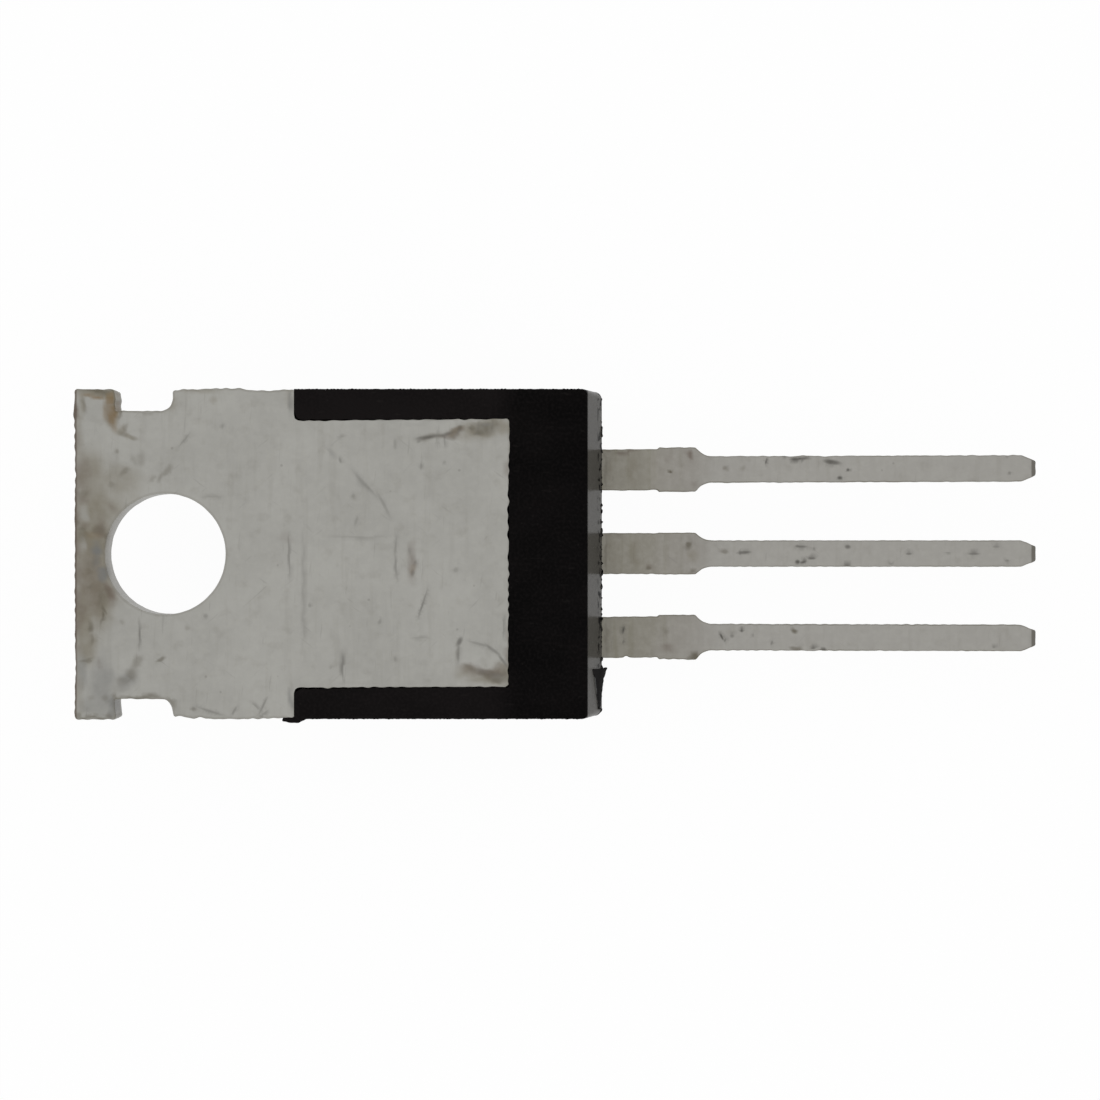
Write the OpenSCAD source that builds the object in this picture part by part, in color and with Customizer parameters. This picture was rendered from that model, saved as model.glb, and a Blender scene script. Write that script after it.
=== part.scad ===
// Power transistor in a three-lead through-hole package with a bare metal tab.
//
// It is built as it is assembled: x runs from the free end of the tab to the lead tips,
// y across the leads, and z up from the heat-sink face to the moulded front. lay_down()
// then turns the finished part over, so that it lies on its moulded front with the
// heat-sink face up, centred on the origin with the supporting surface at z = 0.

/* [Package] */
// Thickness, from the heat-sink face to the moulded front
package_t = 4.5; // [4.3:0.05:5.4]

/* [Heat-sink tab] */
// Length of bare tab, from its free end to the moulding
tab_l = 6.47; // [5.4:0.01:7.8]
// Width of the tab
tab_w = 9.7; // [9.4:0.05:11.7]
// Thickness of the tab and the die pad
tab_t = 1.3; // [1.1:0.05:1.6]
// Radius of the tab's two free corners
tab_corner_r = 0.1; // [0.05:0.01:0.3]
// Diameter of the fixing hole
hole_d = 3.56; // [3:0.02:4.1]
// Distance from the free end to the hole's centre
hole_from_end = 2.68; // [2.4:0.02:3.4]
// Distance from the free end to the edge notches
notch_from_end = 1.2; // [1.1:0.02:2]
// Length of each edge notch
notch_l = 1.7; // [1:0.05:2]
// Depth of each edge notch
notch_depth = 0.64; // [0.3:0.02:0.8]
// Fillet in each notch's corner nearest the moulding
notch_fillet = 0.38; // [0.1:0.02:0.6]

/* [Die pad] */
// Fillet where the stamping narrows from the tab to the die pad
pad_neck_r = 0.3; // [0.1:0.05:0.5]
// Radius of the die pad's two inner corners
pad_corner_r = 0.15; // [0.05:0.05:0.5]
// Width of the lock step on the chip side of the pad, which keys it into the moulding
lock_w = 0.35; // [0.1:0.05:0.5]
// Thickness of the lock step
lock_t = 0.6; // [0.3:0.05:0.8]
// Width of the groove across the pad that stops moisture creeping in
groove_w = 0.4; // [0.2:0.05:0.6]
// Depth of the groove
groove_depth = 0.15; // [0.05:0.05:0.3]
// Distance from the start of the moulding to the groove
groove_setback = 0.45; // [0.3:0.05:0.8]

/* [Leads] */
// Distance between neighbouring leads
lead_pitch = 2.54; // [2.3:0.01:3.05]
// Thickness of the leads
lead_t = 0.5; // [0.4:0.02:0.6]
// Height of the leads' near face above the heat-sink face
lead_height = 2.4; // [2.2:0.05:2.8]
// Length of the leads outside the moulding
lead_l = 13.17; // [10.9:0.01:16]
// Width of a lead beside the moulding
lead_wide_w = 1.24; // [1.0:0.02:1.5]
// Distance from the moulding to the cut dam bar
dam_setback = 1.69; // [1.2:0.01:2.1]
// Length of the dam bar's stubs, along the lead
dam_l = 1.15; // [0.8:0.05:1.4]
// How far the stubs stand out from the outer leads
dam_stub = 0.05; // [0:0.01:0.15]
// How far the stubs stand out from the middle lead
middle_dam_stub = 0.01; // [0:0.01:0.15]
// Width of the narrow part of a lead
lead_narrow_w = 0.8; // [0.6:0.02:0.96]
// Radius of the blend from the wide part to the narrow part
blend_r = 0.6; // [0.4:0.05:1]
// Length of the taper at the tip
tip_taper_l = 0.4; // [0.2:0.02:0.6]
// Width of the tip
tip_w = 0.44; // [0.3:0.02:0.6]
// Bevel on the faces at the tip
tip_bevel = 0.12; // [0.05:0.01:0.2]

/* [Lead ends inside the moulding] */
// Length of each bond post
post_l = 1.2; // [1:0.05:1.5]
// Gap between the die pad and the posts, seen from the front
post_gap = 0.35; // [0.2:0.05:0.6]
// Gap between the middle lead and the source post
post_clear = 0.55; // [0.4:0.05:0.8]
// Least moulding between a post and the side of the package
post_cover = 0.85; // [0.6:0.05:1.2]
// Width of the waisted neck that keys each outer lead into the moulding
neck_w = 0.85; // [0.6:0.05:1]
// Length of the neck
neck_l = 0.45; // [0.3:0.05:0.6]
// Inner radius of the two bends in the middle lead
bend_r = 0.3; // [0.2:0.05:0.5]
// Angle of the two bends in the middle lead
bend_angle = 60; // [50:5:75]

/* [Chip and wires] */
// Length of the chip, along the leads
die_l = 4.2; // [3:0.05:4.5]
// Width of the chip, across the leads
die_w = 3.6; // [3.2:0.05:4.4]
// Thickness of the chip
die_t = 0.25; // [0.15:0.01:0.4]
// Distance from the chip to the end of the die pad
die_setback = 0.45; // [0.3:0.05:0.8]
// Thickness of the solder under the chip
solder_t = 0.05; // [0.02:0.01:0.1]
// Width of the solder that shows round the chip
solder_rim = 0.1; // [0:0.02:0.2]
// Diameter of the source wires
source_wire_d = 0.38; // [0.25:0.01:0.46]
// Diameter of the gate wire
gate_wire_d = 0.15; // [0.1:0.01:0.2]
// Moulding left over the top of the wire loops
wire_cover = 0.6; // [0.5:0.05:0.8]
// Height of the low loop between a source wire's two stitches on the chip
stitch_rise = 0.4; // [0.3:0.05:0.5]

/* [Moulding] */
// Length of the moulding at the parting line
mold_l = 9.1; // [7.6:0.05:10.9]
// How far each side of the moulding stands back from the tab's edge, at the heat-sink face
side_setback = 0.04; // [0:0.01:0.1]
// Width of the strip of moulding on each side of the die pad
side_strip = 0.93; // [0.8:0.01:1.2]
// Length of moulding beyond the die pad, at the heat-sink face
end_strip = 2.33; // [2.3:0.01:2.6]
// Draft of the moulding's sides on the heat-sink side of the leads
side_draft = 1; // [0.5:0.5:4]
// Draft of the moulding's sides on the front side of the leads
front_side_draft = 3; // [1:0.5:6]
// Draft of the moulding's end on the heat-sink side of the leads
end_draft = 11.1; // [6:0.1:12]
// Draft of the moulding's end on the front side of the leads
front_end_draft = 7; // [3:1:12]
// Draft of the moulding's shoulder, where the tab comes out
shoulder_draft = 6; // [3:1:12]
// Bevel between the shoulder and the front
shoulder_bevel = 0.6; // [0.3:0.05:1]
// Radius of the moulding's upright corners at the lead end
mold_corner_r = 0.3; // [0.1:0.05:0.5]
// Radius round the edge of the front face
front_edge_r = 0.15; // [0.05:0.01:0.25]
// Diameter of the ejector-pin mark in the front face
ejector_d = 1.8; // [1:0.1:2.4]
// Depth of the ejector-pin mark
ejector_depth = 0.1; // [0.05:0.01:0.2]

/* [Flash] */
// Thickness of the flakes of flash
flash_t = 0.08; // [0.05:0.01:0.15]
// How far the end flake stands out past the moulding
end_flake_out = 0.2; // [0.1:0.01:0.3]
// Length of the end flake, across the leads
end_flake_l = 1.05; // [0.8:0.05:1.3]
// How far the side flake stands out past the tab's edge
side_flake_out = 0.1; // [0.05:0.01:0.2]
// How far the side flake creeps back along the tab's edge
side_flake_l = 0.3; // [0.1:0.05:0.5]
// Clearance between the side flake and the two faces of the tab
side_flake_clear = 0.02; // [0.01:0.01:0.05]

/* [Hidden] */

eps = 0.5;          // overreach of cutting solids
bite = 0.3;         // how far a flake is rooted in the moulding
flake_neck_share = 0.4;     // place and width of the end flake's neck, as a share of it
gate_side = -1;     // side of the middle lead that the gate is on
source_side = 1;

// Stations along x
mold_x1 = tab_l + mold_l;
mold_back_x1 = mold_x1 - lead_height * tan(end_draft);
pad_x1 = mold_back_x1 - end_strip;
post_x0 = pad_x1 + post_gap;
post_x1 = post_x0 + post_l;
tip_x = mold_x1 + lead_l;
groove_x0 = tab_l + groove_setback;
die_x1 = pad_x1 - die_setback;
die_x0 = die_x1 - die_l;

// Widths across y
mold_half_w = tab_w / 2 - side_setback;
parting_y = mold_half_w + lead_height * tan(side_draft);
pad_w = tab_w - 2 * side_strip;
post_outer_y = mold_half_w - post_cover;
source_post_inner_y = lead_wide_w / 2 + post_clear;
gate_post_inner_y = lead_pitch - lead_wide_w / 2;

// Heights along z
lead_front_z = lead_height + lead_t;
die_z = tab_t + solder_t;
die_top_z = die_z + die_t;

// Points on an arc about c, from angle a0 to a1
function arc(c, r, a0, a1, n = 8) =
    [for (i = [0 : n]) let (a = a0 + (a1 - a0) * i / n) c + r * [cos(a), sin(a)]];

// A half outline above the x axis, closed by its mirror image below
function mirrored(half) =
    concat(half, [for (i = [len(half) - 1 : -1 : 0]) [half[i].x, -half[i].y]]);

// ---- Tab, die pad and middle lead -------------------------------------------------

// Outline of the thick part: bare tab with its notches, then the narrower die pad
function tab_outline() =
    let (hw = tab_w / 2, floor_y = tab_w / 2 - notch_depth, notch_x1 = notch_from_end + notch_l)
    mirrored(concat(
        arc([tab_corner_r, hw - tab_corner_r], tab_corner_r, 180, 90, 4),
        [[notch_from_end, hw], [notch_from_end, floor_y]],
        arc([notch_x1 - notch_fillet, floor_y + notch_fillet], notch_fillet, -90, 0),
        [[notch_x1, hw], [tab_l, hw]],
        arc([tab_l + pad_neck_r, pad_w / 2 + pad_neck_r], pad_neck_r, 180, 270),
        arc([pad_x1 - pad_corner_r, pad_w / 2 - pad_corner_r], pad_corner_r, 90, 0, 4)));

// Step along the chip side of the pad's edges and end
module lock_step() {
    x0 = groove_x0 + groove_w;
    translate([x0, -pad_w / 2 - lock_w, tab_t - lock_t])
        cube([pad_x1 - x0, pad_w + 2 * lock_w, lock_t]);
}

// Side view of the middle lead: out of the pad's chip side, up through two bends
// to the level of the outer leads, and out to the tip
function middle_side_view() =
    let (
        outer_r = bend_r + lead_t,
        mid_r = bend_r + lead_t / 2,
        rise = lead_height - (tab_t - lead_t),
        slope_l = (rise - 2 * mid_r * (1 - cos(bend_angle))) / sin(bend_angle),
        run = 2 * mid_r * sin(bend_angle) + slope_l * cos(bend_angle),
        c0 = [pad_x1, tab_t + bend_r],
        c1 = [pad_x1 + run, lead_height - bend_r])
    concat(
        [[pad_x1 - eps, tab_t - lead_t]],
        arc(c0, outer_r, -90, bend_angle - 90),
        arc(c1, bend_r, bend_angle + 90, 90),
        [[tip_x - tip_bevel, lead_height], [tip_x, lead_height + tip_bevel],
         [tip_x, lead_front_z - tip_bevel], [tip_x - tip_bevel, lead_front_z]],
        arc(c1, outer_r, 90, bend_angle + 90),
        arc(c0, bend_r, bend_angle - 90, -90),
        [[pad_x1 - eps, tab_t]]);

// Side view of an outer lead, which is straight from its post to its tip
function outer_side_view() =
    [[post_x0, lead_height], [tip_x - tip_bevel, lead_height],
     [tip_x, lead_height + tip_bevel], [tip_x, lead_front_z - tip_bevel],
     [tip_x - tip_bevel, lead_front_z], [post_x0, lead_front_z]];

// A side view given as x and z points, made solid across a width in y
module across(points, half_w) {
    translate([0, half_w, 0])
        rotate([90, 0, 0])
            linear_extrude(height = 2 * half_w)
                polygon(points);
}

// Half width of a lead along its length: wide part, dam-bar stub, blend, narrow part, taper
function lead_edge(stub) =
    let (
        wide = lead_wide_w / 2,
        narrow = lead_narrow_w / 2,
        dam_x0 = mold_x1 + dam_setback,
        dam_x1 = dam_x0 + dam_l,
        blend_a = acos(1 - (wide - narrow) / blend_r),
        narrow_x0 = dam_x1 + blend_r * sin(blend_a))
    concat(
        [[dam_x0, wide], [dam_x0, wide + stub], [dam_x1, wide + stub]],
        arc([narrow_x0, narrow + blend_r], blend_r, 270 - blend_a, 270),
        [[tip_x - tip_taper_l, narrow], [tip_x, tip_w / 2]]);

module middle_lead() {
    intersection() {
        across(middle_side_view(), lead_pitch / 2);
        linear_extrude(height = package_t)
            polygon(mirrored(concat([[pad_x1 - eps, lead_wide_w / 2]], lead_edge(middle_dam_stub))));
    }
}

module heatsink_tab() {
    color([0.63, 0.62, 0.60])
    difference() {
        union() {
            linear_extrude(height = tab_t)
                polygon(tab_outline());
            lock_step();
            middle_lead();
        }
        translate([hole_from_end, 0, -eps])
            cylinder(d = hole_d, h = tab_t + 2 * eps, $fn = 96);
        translate([groove_x0, -tab_w, tab_t - groove_depth])
            cube([groove_w, 2 * tab_w, groove_depth + eps]);
    }
}

// ---- Gate and source leads --------------------------------------------------------

// Outline of an outer lead on the +y side: its post, its waisted neck and the lead itself
function outer_lead_outline(post_inner_y) =
    let (
        y = lead_pitch,
        neck_x1 = post_x1 + neck_l,
        edge = concat(
            [[post_x1, neck_w / 2], [neck_x1, neck_w / 2], [neck_x1, lead_wide_w / 2]],
            lead_edge(dam_stub)))
    concat(
        [[post_x0, post_inner_y], [post_x1, post_inner_y]],
        [for (p = edge) [p.x, y - p.y]],
        [for (i = [len(edge) - 1 : -1 : 0]) [edge[i].x, y + edge[i].y]],
        [[post_x1, post_outer_y], [post_x0, post_outer_y]]);

module outer_lead(side, post_inner_y) {
    color([0.60, 0.59, 0.57])
    intersection() {
        across(outer_side_view(), tab_w);
        linear_extrude(height = package_t)
            polygon([for (p = outer_lead_outline(post_inner_y)) [p.x, side * p.y]]);
    }
}

module gate_lead() {
    outer_lead(gate_side, gate_post_inner_y);
}

module source_lead() {
    outer_lead(source_side, source_post_inner_y);
}

// ---- Chip and its solder ----------------------------------------------------------

module die_solder() {
    color([0.55, 0.56, 0.58])
    translate([die_x0 - solder_rim, -die_w / 2 - solder_rim, tab_t])
        cube([die_l + 2 * solder_rim, die_w + 2 * solder_rim, solder_t]);
}

module silicon_die() {
    color([0.30, 0.32, 0.36])
    translate([die_x0, -die_w / 2, die_z])
        cube([die_l, die_w, die_t]);
}

// ---- Bond wires -------------------------------------------------------------------

wire_sides = 12;        // flats round a wire, one of them face down
loop_steps = 18;        // rings along one loop
foot_half_l = 0.3;      // half the length of a pressed bond
pressed_h = 0.6;        // height of a pressed bond over the wire's diameter
pressed_w = 1.35;       // width of a pressed bond over the wire's diameter
bond_inset = 0.6;       // distance of the bonds from the edges of chip and post
press_ramp = 4;         // a loop leaves its pressed foot over one part in this many
first_bond_share = 0.42;    // place of the first source bond, as a share of the chip's width
bond_spread_share = 0.29;   // from there to the second one
stitch_share = [0.46, 0.30];    // share of each source wire's way at which it is stitched again

function smooth(t) = t * t * (3 - 2 * t);

// Stations along a wire, as [distance, height of its underside, how far it is pressed].
// A foot lies flat on its pad; a loop climbs from one foot's height to the next and
// adds a hump of the given rise.
function foot(s, z) = [[s - foot_half_l, z, 1], [s + foot_half_l, z, 1]];
function loop(a, b, rise) =
    let (s0 = a[0] + foot_half_l, s1 = b[0] - foot_half_l)
    [for (i = [1 : loop_steps - 1])
        let (t = i / loop_steps)
        [s0 + (s1 - s0) * t,
         a[1] + (b[1] - a[1]) * smooth(t) + rise * pow(sin(180 * t), 2),
         max(0, 1 - press_ramp * min(t, 1 - t))]];

// Slope of the route at station i, from its neighbours
function slope_at(path, i) =
    let (p = path[max(i - 1, 0)], q = path[min(i + 1, len(path) - 1)])
    path[i][2] == 1 ? 0 : atan2(q[1] - p[1], q[0] - p[0]);

// Ring of points round the wire at one station
function wire_ring(station, slope, d) =
    let (
        half_h = d / 2 * (1 + (pressed_h - 1) * station[2]),
        half_w = d / 2 * (1 + (pressed_w - 1) * station[2]),
        corner = 1 / cos(180 / wire_sides))
    [for (k = [0 : wire_sides - 1])
        let (a = 360 * (k + 0.5) / wire_sides, up = -half_h * corner * cos(a))
        [station[0] - up * sin(slope), half_w * corner * sin(a),
         station[1] + half_h + up * cos(slope)]];

// A wire swept through its stations, starting over p and heading for q
module wire(p, q, path, d) {
    n = wire_sides;
    last = (len(path) - 1) * n;
    rings = [for (i = [0 : len(path) - 1]) each wire_ring(path[i], slope_at(path, i), d)];
    sides = [for (i = [0 : len(path) - 2], k = [0 : n - 1])
        let (a = i * n + k, b = i * n + (k + 1) % n)
        each [[a, b + n, b], [a, a + n, b + n]]];
    ends = [[for (k = [0 : n - 1]) k], [for (k = [n - 1 : -1 : 0]) last + k]];
    color([0.80, 0.80, 0.82])
    translate([p.x, p.y, 0])
        rotate([0, 0, atan2(q.y - p.y, q.x - p.x)])
            polyhedron(points = rings, faces = concat(sides, ends), convexity = 6);
}

// Rise of a loop whose top stays the wire cover below the moulded front
function loop_rise(d) = package_t - wire_cover - d - (die_top_z + lead_front_z) / 2;

// Route of a source wire: two stitches on the chip, then over to the post
function source_route(stitch_s, post_s) =
    concat(
        foot(0, die_top_z),
        loop([0, die_top_z], [stitch_s, die_top_z], stitch_rise),
        foot(stitch_s, die_top_z),
        loop([stitch_s, die_top_z], [post_s, lead_front_z], loop_rise(source_wire_d)),
        foot(post_s, lead_front_z));

post_bond_x = post_x0 + bond_inset;

module source_wire(i) {
    first_y = die_w * (first_bond_share + bond_spread_share * i - 0.5);
    post_y = source_side * (source_post_inner_y + bond_inset
             + i * (post_outer_y - source_post_inner_y - 2 * bond_inset));
    p = [die_x0 + bond_inset, source_side * first_y];
    q = [post_bond_x, post_y];
    length = norm(q - p);
    wire(p, q, source_route(stitch_share[i] * length, length), source_wire_d);
}

module source_wire_1() {
    source_wire(0);
}

module source_wire_2() {
    source_wire(1);
}

module gate_wire() {
    p = [die_x1 - bond_inset, gate_side * (die_w / 2 - bond_inset)];
    q = [post_bond_x, gate_side * (gate_post_inner_y + post_outer_y) / 2];
    length = norm(q - p);
    route = concat(
        foot(0, die_top_z),
        loop([0, die_top_z], [length, lead_front_z], loop_rise(gate_wire_d)),
        foot(length, lead_front_z));
    wire(p, q, route, gate_wire_d);
}

// ---- Moulding ---------------------------------------------------------------------

// Side view, in x and z: drafted ends that meet at the leads, bevelled shoulder
function mold_side_view() =
    let (
        shoulder_z = package_t - shoulder_bevel,
        shoulder_x = tab_l + (shoulder_z - tab_t) * tan(shoulder_draft),
        front_x1 = mold_x1 - (package_t - lead_height) * tan(front_end_draft),
        r = front_edge_r)
    concat(
        [[tab_l, 0], [mold_back_x1, 0], [mold_x1, lead_height]],
        arc([front_x1 - r, package_t - r], r, front_end_draft, 90, 6),
        [[shoulder_x + shoulder_bevel, package_t], [shoulder_x, shoulder_z], [tab_l, tab_t]]);

// The right half of an end view, closed by its mirror image on the left
function mirrored_up(half) =
    concat(half, [for (i = [len(half) - 1 : -1 : 0]) [-half[i].x, half[i].y]]);

// End view, in y and z: drafted sides that meet at the leads, rounded front edges
function mold_end_view() =
    let (
        front_y = parting_y - (package_t - lead_height) * tan(front_side_draft),
        r = front_edge_r)
    mirrored_up(concat(
        [[mold_half_w, 0], [parting_y, lead_height]],
        arc([front_y - r, package_t - r], r, front_side_draft, 90, 6)));

// Plan, with upright corners rounded at the lead end
function mold_plan() =
    let (r = mold_corner_r)
    mirrored(concat(
        [[tab_l, parting_y]],
        arc([mold_x1 - r, parting_y - r], r, 90, 0, 6)));

module moulding_shell() {
    intersection() {
        across(mold_side_view(), tab_w);
        rotate([90, 0, 90])
            linear_extrude(height = tip_x)
                polygon(mold_end_view());
        linear_extrude(height = package_t)
            polygon(mold_plan());
    }
}

// Torn flake of flash on the parting line at the lead end: widest at its middle end,
// it narrows to a point on the moulding's rounded corner
module end_flake() {
    root_x = mold_x1 - bite;
    corner_y = parting_y - mold_corner_r;
    middle_y = corner_y - end_flake_l;
    neck_y = corner_y - flake_neck_share * end_flake_l;
    translate([0, 0, lead_height])
        linear_extrude(height = flash_t)
            polygon([[root_x, middle_y], [mold_x1 + end_flake_out, middle_y],
                     [mold_x1 + flake_neck_share * end_flake_out, neck_y],
                     [mold_x1, corner_y], [root_x, corner_y]]);
}

// Lip of flash that crept back along the tab's edge, beside the heat-sink face
module side_flake() {
    y0 = tab_w / 2;
    x1 = tab_l + pad_neck_r;
    root_y = y0 - side_strip / 2;
    translate([0, 0, side_flake_clear])
        linear_extrude(height = tab_t - 2 * side_flake_clear)
            polygon([[tab_l - side_flake_l, y0], [tab_l - side_flake_l / 2, y0 + side_flake_out],
                     [tab_l, y0 + side_flake_out], [x1, y0], [x1, root_y], [tab_l, root_y],
                     [tab_l, y0]]);
}

// Everything that the epoxy is moulded round
module insert() {
    heatsink_tab();
    gate_lead();
    source_lead();
    die_solder();
    silicon_die();
    gate_wire();
    source_wire_1();
    source_wire_2();
}

module mold_body() {
    color([0.07, 0.07, 0.07])
    difference() {
        union() {
            moulding_shell();
            end_flake();
            side_flake();
        }
        insert();
        translate([tab_l + mold_l / 2, 0, package_t - ejector_depth])
            cylinder(d = ejector_d, h = ejector_depth + eps, $fn = 64);
    }
}

// ---- The part at rest -------------------------------------------------------------

// Turns the part over to lie on its moulded front
module lay_down() {
    translate([-tip_x / 2, 0, package_t])
        rotate([180, 0, 0])
            children();
}

lay_down() heatsink_tab();
lay_down() gate_lead();
lay_down() source_lead();
lay_down() die_solder();
lay_down() silicon_die();
lay_down() gate_wire();
lay_down() source_wire_1();
lay_down() source_wire_2();
lay_down() mold_body();
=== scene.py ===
import math

import bmesh
import bpy
import numpy as np
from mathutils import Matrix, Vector
from mathutils.geometry import delaunay_2d_cdt


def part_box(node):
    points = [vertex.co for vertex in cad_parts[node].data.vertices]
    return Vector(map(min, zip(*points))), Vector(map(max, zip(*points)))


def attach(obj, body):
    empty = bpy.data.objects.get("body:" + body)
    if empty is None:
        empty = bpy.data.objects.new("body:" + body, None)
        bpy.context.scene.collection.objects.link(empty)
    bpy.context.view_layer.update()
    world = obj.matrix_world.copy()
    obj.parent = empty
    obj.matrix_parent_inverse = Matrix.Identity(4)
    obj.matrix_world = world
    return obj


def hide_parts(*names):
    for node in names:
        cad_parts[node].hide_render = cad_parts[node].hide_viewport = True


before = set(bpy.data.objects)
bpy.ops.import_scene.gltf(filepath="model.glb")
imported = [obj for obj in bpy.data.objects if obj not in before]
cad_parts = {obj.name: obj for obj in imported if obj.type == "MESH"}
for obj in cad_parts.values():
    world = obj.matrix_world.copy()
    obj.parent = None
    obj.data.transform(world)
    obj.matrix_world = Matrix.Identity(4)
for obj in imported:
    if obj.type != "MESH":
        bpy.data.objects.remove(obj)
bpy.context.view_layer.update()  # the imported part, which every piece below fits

MM = 0.001  # sizes below are in millimetres, in the part's own frame

# ---- Tab, die pad and drain lead ---------------------------------------------------
# One stamping of copper strip, tinned all over: 1.3 mm thick for the tab and the die pad, and
# 0.5 mm for the lead, which leaves the pad's chip side and steps down to the lead plane.


def corners_of(node):
    """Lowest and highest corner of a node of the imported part, in millimetres."""
    return [np.array(corner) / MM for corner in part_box(node)]


tab_low, tab_high = corners_of("heatsink_tab")
mold_high = corners_of("mold_body")[1]
FREE_END, TIP = tab_low[0], tab_high[0]
BACK = tab_high[2]  # height of the heat-sink face
TAB_HALF = tab_high[1]
TAB_T, LEAD_T = 1.3, 0.5
PAD_UNDER = BACK - TAB_T  # chip side of the tab and the pad
LEAD_UNDER = tab_low[2]
LEAD_TOP = LEAD_UNDER + LEAD_T
MOLD_START = FREE_END + 6.47  # where the tab goes into the moulding
PAD_END = MOLD_START + 6.3
HOLE_X, HOLE_R = FREE_END + 2.68, 1.78
NOTCH = FREE_END + 1.2, FREE_END + 2.9
NOTCH_FLOOR = TAB_HALF - 0.64, TAB_HALF - 0.585  # how far out: the +Y notch's, the -Y notch's
END_FACE = FREE_END + 0.025  # the cut end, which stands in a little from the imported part's


def evenly(points, step):
    """A closed outline stepped off again, so that its points lie one step apart along it."""
    loop = np.vstack([points, points[:1]])
    along = np.append(0, np.cumsum(np.linalg.norm(np.diff(loop, axis=0), axis=1)))
    stations = np.linspace(0, along[-1], round(along[-1] / step), endpoint=False)
    return np.stack([np.interp(stations, along, loop[:, k]) for k in (0, 1)], 1)


def rounded(corners, step=0.04):
    """A closed outline through corners (x, y, radius), each made an arc of its radius that touches
    both sides and turns at an even rate."""
    corner = np.array(corners, float)
    point, radius = corner[:, :2], corner[:, 2:]
    back, on = np.roll(point, 1, 0) - point, np.roll(point, -1, 0) - point
    back /= np.linalg.norm(back, axis=1, keepdims=True)
    on /= np.linalg.norm(on, axis=1, keepdims=True)
    half = np.arccos((back * on).sum(1, keepdims=True)) / 2
    centre = point + (back + on) * radius / np.sin(half) / (2 * np.cos(half))
    first = point + back * radius / np.tan(half) - centre
    last = point + on * radius / np.tan(half) - centre
    turn = (np.pi - 2 * half)[:, None]
    t = np.linspace(0, 1, 9)[None, :, None]
    arcs = np.sin((1 - t) * turn) * first[:, None] + np.sin(t * turn) * last[:, None]
    return edged(evenly((arcs / np.sin(turn) + centre[:, None]).reshape(-1, 2), step))


def edged(points):
    """Points of an outline, each with its push: how far the edge there stands out past the
    point."""
    return np.column_stack([points, np.zeros(len(points))])


def pushed(outline, inset=0):
    """Where an outline's edge runs: each point moved by its push, less an inset, along its normal,
    which points out of a counter-clockwise outline and into a clockwise hole."""
    along = np.roll(outline, -1, 0) - np.roll(outline, 1, 0)
    normal = np.stack([along[:, 1], -along[:, 0]], 1)
    normal /= np.linalg.norm(normal, axis=1, keepdims=True)
    return outline[:, :2] + normal * (outline[:, 2:] - inset)


def ragged(outline, seed, size, shortest=0.25, waves=40):
    """An edge as a worn punch leaves it: its push grows by a sum of sine waves, each with a whole
    number of turns round the outline and a random phase and height."""
    length = np.linalg.norm(np.roll(outline, -1, 0) - outline, axis=1).sum()
    draw = np.random.default_rng(seed)
    turns = draw.integers(4, int(length / shortest), waves)
    phase, height = draw.random(waves), draw.normal(size=waves) / math.sqrt(waves)
    share = np.arange(len(outline))[:, None] / len(outline)
    move = (np.sin(2 * np.pi * (share * turns + phase)) * height).sum(1)
    return np.column_stack([outline[:, :2], outline[:, 2] + size * move])


def dented(outline, dents):
    """Lets an outline out, or in where the height is negative, near each (x, y, reach, height): the
    push falls off as a bell curve of the distance."""
    x, y, reach, height = np.array(dents, float).T
    away = (outline[:, :1] - x) ** 2 + (outline[:, 1:2] - y) ** 2
    move = (height * np.exp(-away / reach**2)).sum(1)
    return np.column_stack([outline[:, :2], outline[:, 2] + move])


def level(points, z):
    """Flat points lifted to the height z."""
    return np.column_stack([points, np.full(len(points), z)])


def netting(rows, columns, closed):
    """Corner numbers of a grid's quads. A closed grid joins its last column to its first."""
    number = np.arange(rows * columns).reshape(rows, columns)
    if closed:
        number = np.hstack([number, number[:, :1]])
    quads = [number[:-1, :-1], number[1:, :-1], number[1:, 1:], number[:-1, 1:]]
    return np.stack(quads, -1).reshape(-1, 4)


def carried(outline, profile):
    """A wall with a profile of (inset, z, rim) carried round an outline: each row is the outline
    moved in by the inset, at the height z. Rim says how near the surface is to the edge."""
    inset, z, rim = np.array(profile, float).T
    rows = [level(pushed(outline, step), height) for step, height in zip(inset, z)]
    return np.vstack(rows), netting(len(rows), len(outline), True), np.repeat(rim, len(outline))


def inside(points, rings):
    """Whether points are inside rings: a ray from each along +X crosses their edges an odd number
    of times."""
    start = np.vstack(rings)
    stop = np.vstack([np.roll(ring, -1, 0) for ring in rings])
    rise = np.where(stop[:, 1] == start[:, 1], 1, stop[:, 1] - start[:, 1])
    odd = []
    for some in np.array_split(points, 1 + len(points) // 4000):
        x, y = some[:, :1], some[:, 1:]
        spans = (start[:, 1] > y) != (stop[:, 1] > y)
        cross = start[:, 0] + (y - start[:, 1]) * (stop[:, 0] - start[:, 0]) / rise
        odd.append((spans & (cross > x)).sum(1) % 2 == 1)
    return np.concatenate(odd)


def beside(points, edge, reach):
    """Whether each point has a point of the edge in its own cell of a square grid, or in one round
    it."""
    corner = edge.min(0) - 2 * reach
    cells = np.floor((edge - corner) / reach).astype(int)
    taken = np.zeros(cells.max(0) + 3, bool)
    for shift in np.ndindex(3, 3):
        taken[tuple((cells + shift).T - 1)] = True
    here = np.clip(np.floor((points - corner) / reach).astype(int), 0, np.array(taken.shape) - 1)
    return taken[tuple(here.T)]


MARK_UNITS = 0.01, 0.01, 0.01, 0.01, 1, 0.01  # hundredths, but the turn is in degrees
FAINTEST = 0.02  # the strength at which a mark starts to show
FINE_STEP = 0.028  # between points where there are marks


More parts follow.
